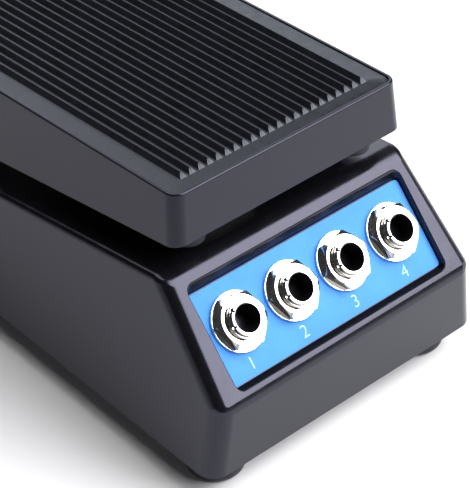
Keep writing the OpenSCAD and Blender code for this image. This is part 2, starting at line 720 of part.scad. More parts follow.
module bumper(sx, t) color("#1c1d1f")
  on_treadle() translate([sx * bumper_x, t, -bumper_drop]) rotate_extrude()
    polygon([[0, 0], [bumper_d / 2 - 0.8, 0], [bumper_d / 2, 0.8],
      [bumper_d / 2, bumper_drop + seat_w], [stem_r, bumper_drop + seat_w],
      [stem_r, bumper_drop + seat_w + 4], [0, bumper_drop + seat_w + 4]]);

base_shell();
bottom_plate();
plate_screws();
foot_screws();
for (e = [0, 1], s = [0, 1])
  foot(2 * s - 1, 2 * e - 1);
label_plate();
socket_washers();
socket_nuts();
for (i = [1:socket_n]) {
  socket_body(i);
  socket_sleeve(i);
  socket_contacts(i);
}
circuit_board();
wiring_loom();
pot_bracket();
bracket_screws();
pot_case();
pot_bushing();
pot_washer();
pot_nut();
pot_shaft();
pinion();
pinion_screw();
for (m = [0, 1]) bush(m);
friction_washers();
axle();
treadle_shell();
rubber_mat();
quadrant();
quadrant_screws();
for (s = [0, 1]) {
  bumper(2 * s - 1, bumper_t);
  bumper(2 * s - 1, treadle_len - bumper_t);
}
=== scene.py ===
"""Looks of the volume pedal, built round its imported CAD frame. Lengths are in metres."""

import json
import math

import bmesh
import bpy
from mathutils import Matrix, Vector


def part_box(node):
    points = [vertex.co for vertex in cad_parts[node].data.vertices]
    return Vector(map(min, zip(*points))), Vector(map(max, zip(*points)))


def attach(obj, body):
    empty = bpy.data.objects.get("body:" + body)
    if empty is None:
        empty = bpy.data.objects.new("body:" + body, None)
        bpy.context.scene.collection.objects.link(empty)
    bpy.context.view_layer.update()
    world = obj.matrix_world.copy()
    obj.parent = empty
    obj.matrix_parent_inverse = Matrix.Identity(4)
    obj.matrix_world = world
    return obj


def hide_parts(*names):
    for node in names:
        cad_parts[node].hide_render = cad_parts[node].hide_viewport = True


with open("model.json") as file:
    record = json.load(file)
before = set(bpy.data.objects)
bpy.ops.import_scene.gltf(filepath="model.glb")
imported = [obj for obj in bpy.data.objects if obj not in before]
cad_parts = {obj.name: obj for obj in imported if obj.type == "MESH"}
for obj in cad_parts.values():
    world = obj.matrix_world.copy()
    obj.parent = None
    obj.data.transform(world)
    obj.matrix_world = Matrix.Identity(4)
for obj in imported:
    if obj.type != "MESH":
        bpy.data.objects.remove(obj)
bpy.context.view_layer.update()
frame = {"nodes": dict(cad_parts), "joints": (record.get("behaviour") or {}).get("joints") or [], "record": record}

MM = 0.001
NODES = frame["nodes"]
RECORD = frame["record"]

# ---------------------------------------------------------------- driving dimensions
BASE_LOW, BASE_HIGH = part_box("base_shell")
BASE_W = BASE_HIGH.x - BASE_LOW.x
FRONT_Y, HEEL_Y, BASE_Z = BASE_LOW.y, BASE_HIGH.y, BASE_LOW.z
FRONT_H = 18 * MM
SLOPE_LEN = 32.5 * MM
SLOPE = math.radians(44.5)
DECK = math.radians(9)
SIDE_DRAFT = math.radians(7.4)
END_DRAFT = math.radians(2.3)
WALL = 2.5 * MM

LABEL_W, LABEL_H, LABEL_V, LABEL_T = 66 * MM, 22.6 * MM, 3.8 * MM, 0.4 * MM
LABEL_GAP = 0.2 * MM
RECESS_D = 2.1 * MM
RECESS_LEAN = math.radians(30)
PANEL_T = 2 * MM
SLOT_W, SLOT_LEN, SLOT_AHEAD = 8 * MM, 12.2 * MM, 2.5 * MM

SOCKETS = [m for m in RECORD["mounts"] if m["name"].startswith("socket_")]
SOCKET_V = 16.2 * MM
BORE_R = SOCKETS[0]["dims"]["r_mm"] * MM
SLEEVE_R = 4.5 * MM
SLEEVE_PROUD = 4.7 * MM
WASHER_R, WASHER_T = 7.1 * MM, 0.8 * MM
NUT_AF, NUT_T = 12 * MM, 2.1 * MM

TREADLE_LEN, TREADLE_W = 193 * MM, 68.6 * MM
TREADLE_TILT = math.radians(4.7)
TOE_TOP_Z = 68.9 * MM
TOE_Y = FRONT_Y + 24.3 * MM
SKIRT_END, SKIRT_MID = 13.2 * MM, 22.3 * MM
TREADLE_WALL, ROOF_T = 2 * MM, 2.5 * MM
TREADLE_R = 3.3 * MM
SKIRT_FLARE = 1 * MM
RIM_W, RIM_DROP, MAT_GAP, MAT_POCKET = 0.9 * MM, 0.2 * MM, 0.06 * MM, 2 * MM
RIB_N, RIB_PITCH, RIB_H, BORDER_END = 22, 2.62 * MM, 1.1 * MM, 4.5 * MM

BUMPER_R, BUMPER_LOW, BUMPER_SEAT = 4 * MM, -18 * MM, 3 * MM - SKIRT_END
BUMPER_X, BUMPER_IN = 25.7 * MM, 6.1 * MM
FOOT_R = 7 * MM

PIVOT = Vector(next(j for j in frame["joints"] if j["name"] == "treadle_pivot")["pos_m"])
POST_X, POST_T, POST_R = 20 * MM, 6 * MM, 7 * MM
BUSH_R = (5 / 2 + 0.05 + 1.45) * MM
QUAD_R = 61.6 * MM

ROUND = 0.3  # what is left of a rounded edge's size halfway round it
SAME = 1e-6  # metres within which two points are the same

# Places worked out from them
SLOPE_Y = FRONT_Y + FRONT_H * math.tan(END_DRAFT)
SLOPE_Z = BASE_Z + FRONT_H
RIDGE_Y = SLOPE_Y + SLOPE_LEN * math.cos(SLOPE)
RIDGE_Z = SLOPE_Z + SLOPE_LEN * math.sin(SLOPE)
LABEL_TOP = LABEL_T - RECESS_D
ON_SLOPE = Matrix.Translation((0, SLOPE_Y, SLOPE_Z)) @ Matrix.Rotation(SLOPE, 4, "X")
ON_TREADLE = Matrix.Translation((0, TOE_Y, TOE_TOP_Z)) @ Matrix.Rotation(-TREADLE_TILT, 4, "X")


def deck_z(y):
    return RIDGE_Z - (y - RIDGE_Y) * math.tan(DECK)


def half_w(z):
    return BASE_W / 2 - (z - BASE_Z) * math.tan(SIDE_DRAFT)


# ---------------------------------------------------------------- camera
def make_camera():
    azimuth, elevation, roll = math.radians(-44.86), math.radians(39.23), math.radians(3.0)
    target = Vector((0.83, -68.29, 27.5)) * MM
    distance = 541.45 * MM
    back = Vector((math.sin(azimuth) * math.cos(elevation), -math.cos(azimuth) * math.cos(elevation),
                   math.sin(elevation)))
    right = (-back).cross(Vector((0, 0, 1))).normalized()
    up = right.cross(-back)
    cam_x = right * math.cos(roll) + up * math.sin(roll)
    cam_y = up * math.cos(roll) - right * math.sin(roll)
    data = bpy.data.cameras.new("camera")
    data.sensor_fit = "HORIZONTAL"
    data.sensor_width = 36
    data.lens = 176.5
    cam = bpy.data.objects.new("camera", data)
    bpy.context.collection.objects.link(cam)
    turn = Matrix((cam_x, cam_y, back)).transposed().to_4x4()
    cam.matrix_world = Matrix.Translation(target + back * distance) @ turn
    data.clip_start, data.clip_end = 0.01, 50
    bpy.context.scene.camera = cam


# ---------------------------------------------------------------- materials
class Nodes:
    """A material's node tree, with short calls for the nodes that these materials use."""

    def __init__(self, name):
        self.material = bpy.data.materials.new(name)
        self.material.use_nodes = True
        self.tree = self.material.node_tree
        self.shader = self.tree.nodes["Principled BSDF"]
        self.place = self.add("ShaderNodeTexCoord").outputs["Object"]

    def add(self, kind, **values):
        node = self.tree.nodes.new(kind)
        for name, value in values.items():
            setattr(node, name, value)
        return node

    def link(self, a, b):
        self.tree.links.new(a, b)

    def noise(self, scale, detail, stretch=(1, 1, 1)):
        """Noise over the piece's own coordinates; scale is in features per metre."""
        mapping = self.add("ShaderNodeMapping")
        mapping.inputs["Scale"].default_value = stretch
        self.link(self.place, mapping.inputs["Vector"])
        node = self.add("ShaderNodeTexNoise")
        node.inputs["Scale"].default_value = scale
        node.inputs["Detail"].default_value = detail
        self.link(mapping.outputs["Vector"], node.inputs["Vector"])
        return node.outputs["Fac"]

    def spread(self, fac, low, high):
        """Maps the middle of fac's range to low..high."""
        start, end = 0.3, 0.7
        node = self.add("ShaderNodeMapRange")
        node.inputs["From Min"].default_value = start
        node.inputs["From Max"].default_value = end
        node.inputs["To Min"].default_value = low
        node.inputs["To Max"].default_value = high
        self.link(fac, node.inputs["Value"])
        return node.outputs["Result"]

    def colours(self, fac, stops):
        """A colour ramp over fac, with (place, colour) stops."""
        node = self.add("ShaderNodeValToRGB")
        ramp = node.color_ramp
        while len(ramp.elements) < len(stops):
            ramp.elements.new(0.5)
        for element, (place, colour) in zip(ramp.elements, stops):
            element.position = place
            element.color = (*colour, 1)
        self.link(fac, node.inputs["Fac"])
        return node.outputs["Color"]

    def bump(self, layers):
        """Stacks height layers, each (height, strength, distance in metres)."""
        normal = None
        for height, strength, distance in layers:
            node = self.add("ShaderNodeBump")
            node.inputs["Strength"].default_value = strength
            node.inputs["Distance"].default_value = distance
            self.link(height, node.inputs["Height"])
            if normal:
                self.link(normal, node.inputs["Normal"])
            normal = node.outputs["Normal"]
        self.link(normal, self.shader.inputs["Normal"])

    def set(self, **values):
        """Sets the shader's own sockets, with _ for the spaces in their names."""
        for name, value in values.items():
            self.shader.inputs[name.replace("_", " ")].default_value = value


def darker(colour, share):
    return tuple(c * share for c in colour)


def moulded_plastic(name, colour, low_rough, high_rough, grain=0.25, ior=1.5):
    """Semi-gloss moulded plastic: faint mottling, uneven gloss, a slight wave and a fine mould grain."""
    n = Nodes(name)
    mottle, gloss, wave, fine = n.noise(60, 4), n.noise(240, 5), n.noise(45, 2), n.noise(2600, 2)
    n.link(n.colours(mottle, [(0.3, darker(colour, 0.88)), (0.7, darker(colour, 1.12))]),
           n.shader.inputs["Base Color"])
    n.link(n.spread(gloss, low_rough, high_rough), n.shader.inputs["Roughness"])
    n.set(IOR=ior, Specular_Tint=(0.77, 0.775, 1.0, 1))
    n.bump([(wave, 0.25, 0.2 * MM), (fine, grain, 0.01 * MM)])
    return n.material


def rubber(name, colour, low_rough, high_rough, grain=0.5):
    """Dull rubber, mottled, with a fine grain."""
    n = Nodes(name)
    mottle, gloss, fine = n.noise(180, 5), n.noise(500, 4), n.noise(1500, 4)
    n.link(n.colours(mottle, [(0.3, darker(colour, 0.8)), (0.7, darker(colour, 1.25))]),
           n.shader.inputs["Base Color"])
    n.link(n.spread(gloss, low_rough, high_rough), n.shader.inputs["Roughness"])
    n.set(IOR=1.45, Specular_Tint=(0.84, 0.90, 1.0, 1))
    n.bump([(fine, grain, 0.03 * MM)])
    return n.material


def metal(name, colour, low_rough, high_rough, stretch=(1, 1, 1)):
    """Bare or plated metal; stretch draws its scratches out along an axis."""
    n = Nodes(name)
    stain, gloss, scratches = n.noise(300, 4), n.noise(900, 4, stretch), n.noise(1800, 3, stretch)
    n.link(n.colours(stain, [(0.3, darker(colour, 0.94)), (0.7, colour)]),
           n.shader.inputs["Base Color"])
    n.link(n.spread(gloss, low_rough, high_rough), n.shader.inputs["Roughness"])
    n.set(Metallic=1.0)
    n.bump([(scratches, 0.1, 0.01 * MM)])
    return n.material


def print_paint(name, colour, low_rough, high_rough, level=0.5):
    """A thin matt coat, nearly even, such as print or lacquer; level is its specular level."""
    n = Nodes(name)
    n.set(Specular_IOR_Level=level)
    mottle, gloss, fine = n.noise(140, 4), n.noise(700, 4), n.noise(3200, 2)
    n.link(n.colours(mottle, [(0.35, darker(colour, 0.96)), (0.65, darker(colour, 1.03))]),
           n.shader.inputs["Base Color"])
    n.link(n.spread(gloss, low_rough, high_rough), n.shader.inputs["Roughness"])
    n.bump([(fine, 0.15, 0.01 * MM)])
    return n.material


MATERIALS = {
    "base_plastic": moulded_plastic("base_plastic", (0.0045, 0.0045, 0.006), 0.15, 0.23),
    # Painted shade for the recess's leaning lower wall: a darker, matt copy of the base plastic
    "base_painted_shade": print_paint("base_painted_shade", (0.002, 0.002, 0.003), 0.6, 0.75, 0.08),
    "treadle_plastic": moulded_plastic("treadle_plastic", (0.003, 0.0035, 0.0055), 0.17, 0.25, ior=1.44),
    "mat_rubber": rubber("mat_rubber", (0.006, 0.007, 0.010), 0.26, 0.36, 0.2),
    "foot_rubber": rubber("foot_rubber", (0.008, 0.008, 0.009), 0.42, 0.58),
    "label": print_paint("label", (0.065, 0.28, 0.80), 0.5, 0.62, 0.2),
    "label_print": print_paint("label_print", (0.42, 0.76, 0.92), 0.35, 0.5),
    "nickel": metal("nickel", (0.84, 0.82, 0.78), 0.05, 0.12),
    "socket_plastic": moulded_plastic("socket_plastic", (0.008, 0.008, 0.009), 0.3, 0.45),
    "contact_brass": metal("contact_brass", (0.78, 0.58, 0.28), 0.2, 0.35),
    "board": print_paint("board", (0.02, 0.16, 0.06), 0.3, 0.45),
    "wire": rubber("wire", (0.45, 0.03, 0.02), 0.35, 0.5, 0.2),
    "zinc": metal("zinc", (0.62, 0.62, 0.60), 0.25, 0.42),
    "screw_steel": metal("screw_steel", (0.66, 0.66, 0.67), 0.2, 0.35),
    "plate_steel": moulded_plastic("plate_steel", (0.022, 0.022, 0.025), 0.4, 0.55, 0.6),
    "axle_steel": metal("axle_steel", (0.72, 0.72, 0.72), 0.12, 0.25, (1, 30, 30)),
    "nylon": moulded_plastic("nylon", (0.72, 0.70, 0.62), 0.35, 0.5),
    "friction": rubber("friction", (0.15, 0.06, 0.035), 0.7, 0.85),
}


# ---------------------------------------------------------------- meshes
def make_object(name, bm, place=None):
    """Turns bm into an object, with place applied to its mesh and none left on the object."""
    bmesh.ops.recalc_face_normals(bm, faces=bm.faces)
    if place is not None:
        bm.transform(place)
    mesh = bpy.data.meshes.new(name)
    bm.to_mesh(mesh)
    bm.free()
    piece = bpy.data.objects.new(name, mesh)
    bpy.context.collection.objects.link(piece)
    return piece


def apply_modifiers(piece):
    mesh = bpy.data.meshes.new_from_object(piece.evaluated_get(bpy.context.evaluated_depsgraph_get()))
    piece.modifiers.clear()
    piece.data = mesh


def combine(piece, other, operation="DIFFERENCE"):
    """Cuts other out of piece, or joins it on, and deletes other."""
    modifier = piece.modifiers.new(operation.lower(), "BOOLEAN")
    modifier.operation = operation
    modifier.solver = "EXACT"
    modifier.object = other
    apply_modifiers(piece)
    bpy.data.objects.remove(other)


def finish_shading(piece, angle=35):
    """Clears sliver faces, then shades smooth: flat on flat faces, sharp over angle degrees."""
    sliver = 0.004 * MM
    bm = bmesh.new()
    bm.from_mesh(piece.data)
    bmesh.ops.remove_doubles(bm, verts=bm.verts, dist=sliver)
    bmesh.ops.dissolve_degenerate(bm, edges=bm.edges, dist=sliver)
    bm.to_mesh(piece.data)
    bm.free()
    piece.data.shade_smooth()
    piece.data.set_sharp_from_angle(angle=math.radians(angle))
    modifier = piece.modifiers.new("normals", "WEIGHTED_NORMAL")
    modifier.keep_sharp = True
    modifier.weight = 90
    apply_modifiers(piece)


def dress(piece, material, body, *nodes):
    """Gives piece its material and body, and lets it stand for CAD nodes."""
    if not piece.data.materials:
        piece.data.materials.append(MATERIALS[material])
    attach(piece, body)
    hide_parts(*nodes)


def loft(bm, rings):
    """Skins a list of equal rings of points, with a flat face on each end."""
    rows = [[bm.verts.new(p) for p in ring] for ring in rings]
    for a, b in zip(rows, rows[1:]):
        for k in range(len(a)):
            n = (k + 1) % len(a)
            bm.faces.new((a[k], a[n], b[n], b[k]))
    bm.faces.new(rows[0][::-1])
    bm.faces.new(rows[-1])


def lathe(bm, outline, sides, centre=(0, 0), start=0.0):
    """Turns a closed outline of (radius, height) points round Z, from start degrees.

    outline may be a function of the angle in radians, for a form that isn't round."""
    rows = []
    for k in range(sides):
        a = math.radians(start) + 2 * math.pi * k / sides
        points = outline(a) if callable(outline) else outline
        rows.append([bm.verts.new((centre[0] + r * math.cos(a), centre[1] + r * math.sin(a), h))
                     for r, h in points])
    for k in range(sides):
        a, b = rows[k], rows[(k + 1) % sides]
        for j in range(len(a)):
            n = (j + 1) % len(a)
            bm.faces.new((a[j], b[j], b[n], a[n]))


def circle(cx, cy, r, z):
    """A ring of points for loft, round (cx, cy) at height z."""
    sides = 48
    return [(cx + r * math.cos(a), cy + r * math.sin(a), z)
            for a in (2 * math.pi * k / sides for k in range(sides))]


def prism(outline, x1, x2):
    """A bmesh prism along X from an outline of (y, z) points."""
    bm = bmesh.new()
    loft(bm, [[(x, y, z) for y, z in outline] for x in (x1, x2)])
    return bm


def rounded_rect(w, h, r, cy=0.0, steps=8):
    """A rectangle's outline with corners of radius r, centred on (0, cy), counter-clockwise."""
    points = []
    for sx, sy, start in ((1, 1, 0), (-1, 1, 90), (-1, -1, 180), (1, -1, 270)):
        for k in range(steps + 1):
            a = math.radians(start + 90 * k / steps)
            points.append((sx * (w / 2 - r) + r * math.cos(a), cy + sy * (h / 2 - r) + r * math.sin(a)))
    return points


def arc(cy, cz, r, start, end, steps):
    """Points of an arc from start to end degrees."""
    return [(cy + r * math.cos(math.radians(start + (end - start) * k / steps)),
             cz + r * math.sin(math.radians(start + (end - start) * k / steps))) for k in range(steps + 1)]


def bevel_edges(piece, widest, weight_of, segments):
    """Rounds each edge by widest times the weight that weight_of(a, b) gives for its two ends."""
    mesh = piece.data
    layer = mesh.attributes.new("bevel_weight_edge", "FLOAT", "EDGE")
    for edge in mesh.edges:
        a, b = (mesh.vertices[v].co for v in edge.vertices)
        layer.data[edge.index].value = weight_of(a, b) / widest
    modifier = piece.modifiers.new("bevel", "BEVEL")
    modifier.width = widest
    modifier.segments = segments
    modifier.limit_method = "WEIGHT"
    modifier.use_clamp_overlap = False
    apply_modifiers(piece)


# ---------------------------------------------------------------- base
def wedge(points):
    """A solid between the base's drafted sides, from its side-view (y, z) points."""
    bm = bmesh.new()
    loft(bm, [[(s * half_w(z), y, z) for y, z in points] for s in (-1, 1)])
    return bm


def make_base():
    """The base shell: rounded outside, posts, hollow, recess for the label and slot for the gears."""
    rear_y = HEEL_Y - (deck_z(HEEL_Y) - BASE_Z) * math.tan(END_DRAFT)
    profile = [(FRONT_Y, BASE_Z), (SLOPE_Y, SLOPE_Z), (RIDGE_Y, RIDGE_Z), (rear_y, deck_z(rear_y)),
               (HEEL_Y, BASE_Z)]
    base = make_object("base_shell_skin", wedge(profile))

    def near(p, k):
        return abs(p.y - profile[k][0]) < 10 * SAME and abs(p.z - profile[k][1]) < 10 * SAME

    # Radii of the edges that run down the sides, and of those that cross at each profile point
    corner, panel_side, deck_side = 4.5 * MM, 3.2 * MM, 1.6 * MM
    across = (0, 1.4 * MM, 3.3 * MM, 2.4 * MM, 0)

    def radius(a, b):
        k, j = (next(i for i in range(len(profile)) if near(p, i)) for p in (a, b))
        if k == j:
            return across[k]
        return {(0, 1): corner, (1, 2): panel_side, (2, 3): deck_side, (3, 4): corner,
                (0, 4): 0}[tuple(sorted((k, j)))]

    bevel_edges(base, corner, radius, segments=8)

    for s in (-1, 1):
        combine(base, make_post(s), "UNION")
    past = MM  # how far the cavity runs out past the open bottom
    slope_in, slope_down = 2 * MM, 2 * MM
    ridge_in, ridge_down = 2.5 * MM, 4.6 * MM
    cavity = wedge([(FRONT_Y + WALL, BASE_Z - past), (SLOPE_Y + WALL + slope_in, SLOPE_Z - slope_down),
                    (RIDGE_Y + ridge_in, RIDGE_Z - ridge_down), (rear_y - WALL, deck_z(rear_y) - WALL),
                    (HEEL_Y - WALL, BASE_Z - past)])
    cavity.transform(Matrix.Scale(1 - 2 * WALL / BASE_W, 4, (1, 0, 0)))
    combine(base, make_object("cavity", cavity))
    combine(base, make_recess())
    slot_y = PIVOT.y - QUAD_R - SLOT_AHEAD
    slot_points = [(x, slot_y + SLOT_LEN / 2 + y) for x, y in rounded_rect(SLOT_W, SLOT_LEN, MM, steps=4)]
    through = 6 * MM
    slot = bmesh.new()
    loft(slot, [[(x, y, z) for x, y in slot_points] for z in (deck_z(slot_y) - through, RIDGE_Z + through)])
    combine(base, make_object("slot", slot))
    finish_shading(base)
    base.data.materials.append(MATERIALS["base_plastic"])
    base.data.materials.append(MATERIALS["base_painted_shade"])
    # Painted shade: the leaning lower wall of the recess gets a darker, matt copy of the base plastic, so it stays
    # black as if in shade
    back = ON_SLOPE.inverted()
    turn = back.to_3x3()
    lip, beside, leaning = 0.3 * MM, 2 * MM, 0.3
    for face in base.data.polygons:
        centre, normal = back @ face.center, turn @ face.normal
        sunk = -RECESS_D < centre.z < -lip and 0 < centre.y < LABEL_V + LABEL_H / 2
        face.material_index = int(sunk and abs(centre.x) < LABEL_W / 2 + beside and normal.y > leaning)
    dress(base, "base_plastic", "base", "base_shell")


def make_post(side):
    """One pivot post with its round top and a foot that flares into the deck."""
    y, z = PIVOT.y, PIVOT.z
    sunk, flare, waist = 1.6 * MM, 1.5 * MM, 0.4 * MM
    front_rise, rear_rise = 0.6 * MM, 0.8 * MM
    root = deck_z(y + POST_R) - sunk
    outline = [(y - POST_R - flare, root), (y - POST_R - waist, deck_z(y - POST_R) + front_rise)]
    outline += arc(y, z, POST_R, 180, 0, 24)
    outline += [(y + POST_R + waist, deck_z(y + POST_R) + rear_rise), (y + POST_R + flare, root)]
    x1 = side * POST_X if side > 0 else -(POST_X + POST_T)
    post = make_object("post", prism(outline, x1, x1 + POST_T))
    edge = 0.5 * MM
    bevel_edges(post, edge, lambda a, b: edge if abs(a.x - b.x) < SAME else 0, segments=3)
    hole = bmesh.new()
    middle = x1 + POST_T / 2
    loft(hole, [[(middle + e * POST_T, y + BUSH_R * math.cos(a), z + BUSH_R * math.sin(a))
                 for a in (2 * math.pi * k / 48 for k in range(48))] for e in (-1, 1)])
    combine(post, make_object("hole", hole))
    return post


def make_recess():
    """The recess for the label: an upright upper wall, a leaning lower wall and a soft lip."""
    w, h = LABEL_W + 2 * LABEL_GAP, LABEL_H + 2 * LABEL_GAP
    lean = RECESS_D * math.tan(RECESS_LEAN)
    rise = RECESS_D * math.tan(SLOPE)
    middle = LABEL_V + LABEL_H / 2
    lip, corner_mm = 0.35 * MM, 1.1
    # Rings from the floor up: each a share of the depth, and how far the lip has opened
    levels = [(1, 0), (lip / RECESS_D, 0)]
    levels += [(lip / RECESS_D * (1 - math.sin(a)), lip * (1 - math.cos(a)))
               for a in (math.radians(15 * k) for k in range(1, 7))]
    levels.append((-1, lip))
    rings = []
    for depth, out in levels:
        share = 1 - max(depth, 0)
        ring = rounded_rect(w + 2 * out, h + share * (rise + lean) + 2 * out,
                            (corner_mm + share) * MM + out, middle + share * (rise - lean) / 2)
        rings.append([(x, v, -RECESS_D * depth) for x, v in ring])
    bm = bmesh.new()
    loft(bm, rings)
    return make_object("recess", bm, ON_SLOPE)


def make_label():
    """The label plate with a rounded upper edge, pierced by the sleeves."""
    edge, hole_r, past = 0.1 * MM, 4.6 * MM, MM
    middle = LABEL_V + LABEL_H / 2
    rings = []
    for out, h in ((0, 0), (0, LABEL_T - edge), (-ROUND * edge, LABEL_T - ROUND * edge), (-edge, LABEL_T)):
        ring = rounded_rect(LABEL_W + 2 * out, LABEL_H + 2 * out, MM + out, middle)
        rings.append([(x, v, h - RECESS_D) for x, v in ring])
    bm = bmesh.new()
    loft(bm, rings)
    label = make_object("label_plate_skin", bm, ON_SLOPE)
    holes = bmesh.new()
    for socket in SOCKETS:
        loft(holes, [circle(socket["pos_m"][0], SOCKET_V, hole_r, h)
                     for h in (-RECESS_D - past, LABEL_TOP + past)])
    combine(label, make_object("holes", holes, ON_SLOPE))
    finish_shading(label)
    dress(label, "label", "base", "label_plate")


def make_numerals():
    """Plain numbers under the sockets, printed a hair above the label."""
    size, ink, thinner, above = 4.3 * MM, 0.02 * MM, 0.06 * MM, 0.03 * MM
    left, v = 1.5 * MM, 6.6 * MM
    for k, socket in enumerate(SOCKETS):
        text = bpy.data.curves.new(f"numeral_{k + 1}", "FONT")
        text.body = str(k + 1)
        text.size = size
        text.extrude = ink
        text.offset = -thinner
        text.align_x = text.align_y = "CENTER"
        shape = bpy.data.objects.new("numeral_shape", text)
        bpy.context.collection.objects.link(shape)
        bpy.context.view_layer.update()
        mesh = bpy.data.meshes.new_from_object(shape.evaluated_get(bpy.context.evaluated_depsgraph_get()))
        bpy.data.objects.remove(shape)
        x = socket["pos_m"][0] - left
        mesh.transform(ON_SLOPE @ Matrix.Translation((x, v, LABEL_TOP + above)))
        piece = bpy.data.objects.new(f"label_numeral_{k + 1}", mesh)
        bpy.context.collection.objects.link(piece)
        mesh.materials.clear()
        mesh.materials.append(MATERIALS["label_print"])
        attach(piece, "base")


# ---------------------------------------------------------------- sockets
def make_washers():
    """The four washers, each with a rounded upper edge."""
    bm = bmesh.new()
    r, t, e, hole = WASHER_R, WASHER_T, 0.18 * MM, SLEEVE_R + 0.1 * MM
    outline = [(hole, 0), (r - e, 0), (r, e), (r, t - e), (r - ROUND * e, t - ROUND * e), (r - e, t),
               (hole, t)]
    for socket in SOCKETS:
        lathe(bm, outline, sides=96, centre=(socket["pos_m"][0], SOCKET_V))
    washers = make_object("socket_washers_skin", bm, ON_SLOPE @ Matrix.Translation((0, 0, LABEL_TOP)))
    finish_shading(washers)
    dress(washers, "nickel", "base", "socket_washers")


def make_nuts():
    """Hex nuts with turned chamfers, each left at its own angle."""
    bm = bmesh.new()
    flat = NUT_AF / 2
    top = flat * 0.96
    bore = SLEEVE_R + 0.02 * MM
    lead_in, under = 0.35 * MM, 0.14 * MM
    slant = math.tan(math.radians(60))
    turns = (-9.5, -5, 8, -13)
    for socket, turn in zip(SOCKETS, turns):
        def outline(a):
            corner = (math.degrees(a) - turn) % 60 - 30
            rho = flat / math.cos(math.radians(corner))
            drop = (rho - top) / slant
            return [(bore, 0), (rho - under, 0), (rho, NUT_T - drop), (top, NUT_T),
                    (bore + lead_in, NUT_T), (bore, NUT_T - lead_in)]
        lathe(bm, outline, sides=120, centre=(socket["pos_m"][0], SOCKET_V), start=turn)
    nuts = make_object("socket_nuts_skin", bm, ON_SLOPE @ Matrix.Translation((0, 0, LABEL_TOP + WASHER_T)))
    finish_shading(nuts, angle=28)
    dress(nuts, "nickel", "base", "socket_nuts")


def make_sleeve(k, socket):
    """Threaded sleeve with a turned collar and spanner notches, with painted shade in black on its bore and notch
    walls.
    """
    top = SLEEVE_PROUD
    behind = 3 * MM
    foot = -PANEL_T - LABEL_T - behind
    r, step, seat, edge, groove = SLEEVE_R, 0.42 * MM, 3.95 * MM, 0.08 * MM, 0.3 * MM
    groove_1, groove_2, groove_3, groove_4 = 3.1 * MM, 3.18 * MM, 3.32 * MM, 3.4 * MM
    outline = [(BORE_R, foot), (r, foot), (r, groove_1), (r - groove, groove_2), (r - groove, groove_3),
               (r, groove_4), (r, seat - edge), (r - edge, seat), (r - step, seat)]
    # The rounded crown, as millimetres in and down, and the bore's mouth, as out and down
    outline += [(r - step - go_in * MM, top - down * MM)
                for go_in, down in ((0, 0.14), (0.06, 0.04), (0.16, 0))]
    outline += [(BORE_R + go_out * MM, top - down * MM)
                for go_out, down in ((0.2, 0), (0.06, 0.05), (0, 0.2))]
    bm = bmesh.new()
    lathe(bm, outline, sides=96)
    place = ON_SLOPE @ Matrix.Translation((socket["pos_m"][0], SOCKET_V, LABEL_TOP))
    sleeve = make_object(f"socket_sleeve_{k}_skin", bm, place)
    notches = bmesh.new()
    depth, across, width, tall = 0.7 * MM, 1.6 * MM, 0.5 * MM, 2 * MM
    centre = Matrix.Translation((4.3 * MM, 0, top - depth + tall / 2))
    for angle in (6, 132, 186, 312):
        box = bmesh.ops.create_cube(notches, size=1)["verts"]
        shift = Matrix.Rotation(math.radians(angle), 4, "Z") @ centre
        bmesh.ops.transform(notches, verts=box, matrix=shift @ Matrix.Diagonal((across, width, tall, 1)))
    combine(sleeve, make_object("notches", notches, place))
    finish_shading(sleeve, angle=30)
    # The second material, socket_plastic, is painted shade for the bore and notch walls
    sleeve.data.materials.append(MATERIALS["nickel"])
    sleeve.data.materials.append(MATERIALS["socket_plastic"])
    # Painted shade: the bore and the notches' walls take the black socket plastic
    back = place.inverted()
    turn = back.to_3x3()
    slack, mouth, crown, facing = 0.02 * MM, 0.2 * MM, 0.15 * MM, 0.5
    for face in sleeve.data.polygons:
        centre = back @ face.center
        radius = math.hypot(centre.x, centre.y)
        inside = radius < BORE_R + slack and centre.z < top - mouth
        out = Vector((centre.x, centre.y, 0)).normalized()
        notch = seat < centre.z < top - crown and abs((turn @ face.normal).dot(out)) < facing
        face.material_index = int(inside or notch)
    dress(sleeve, "nickel", "base", f"socket_sleeve_{k}")


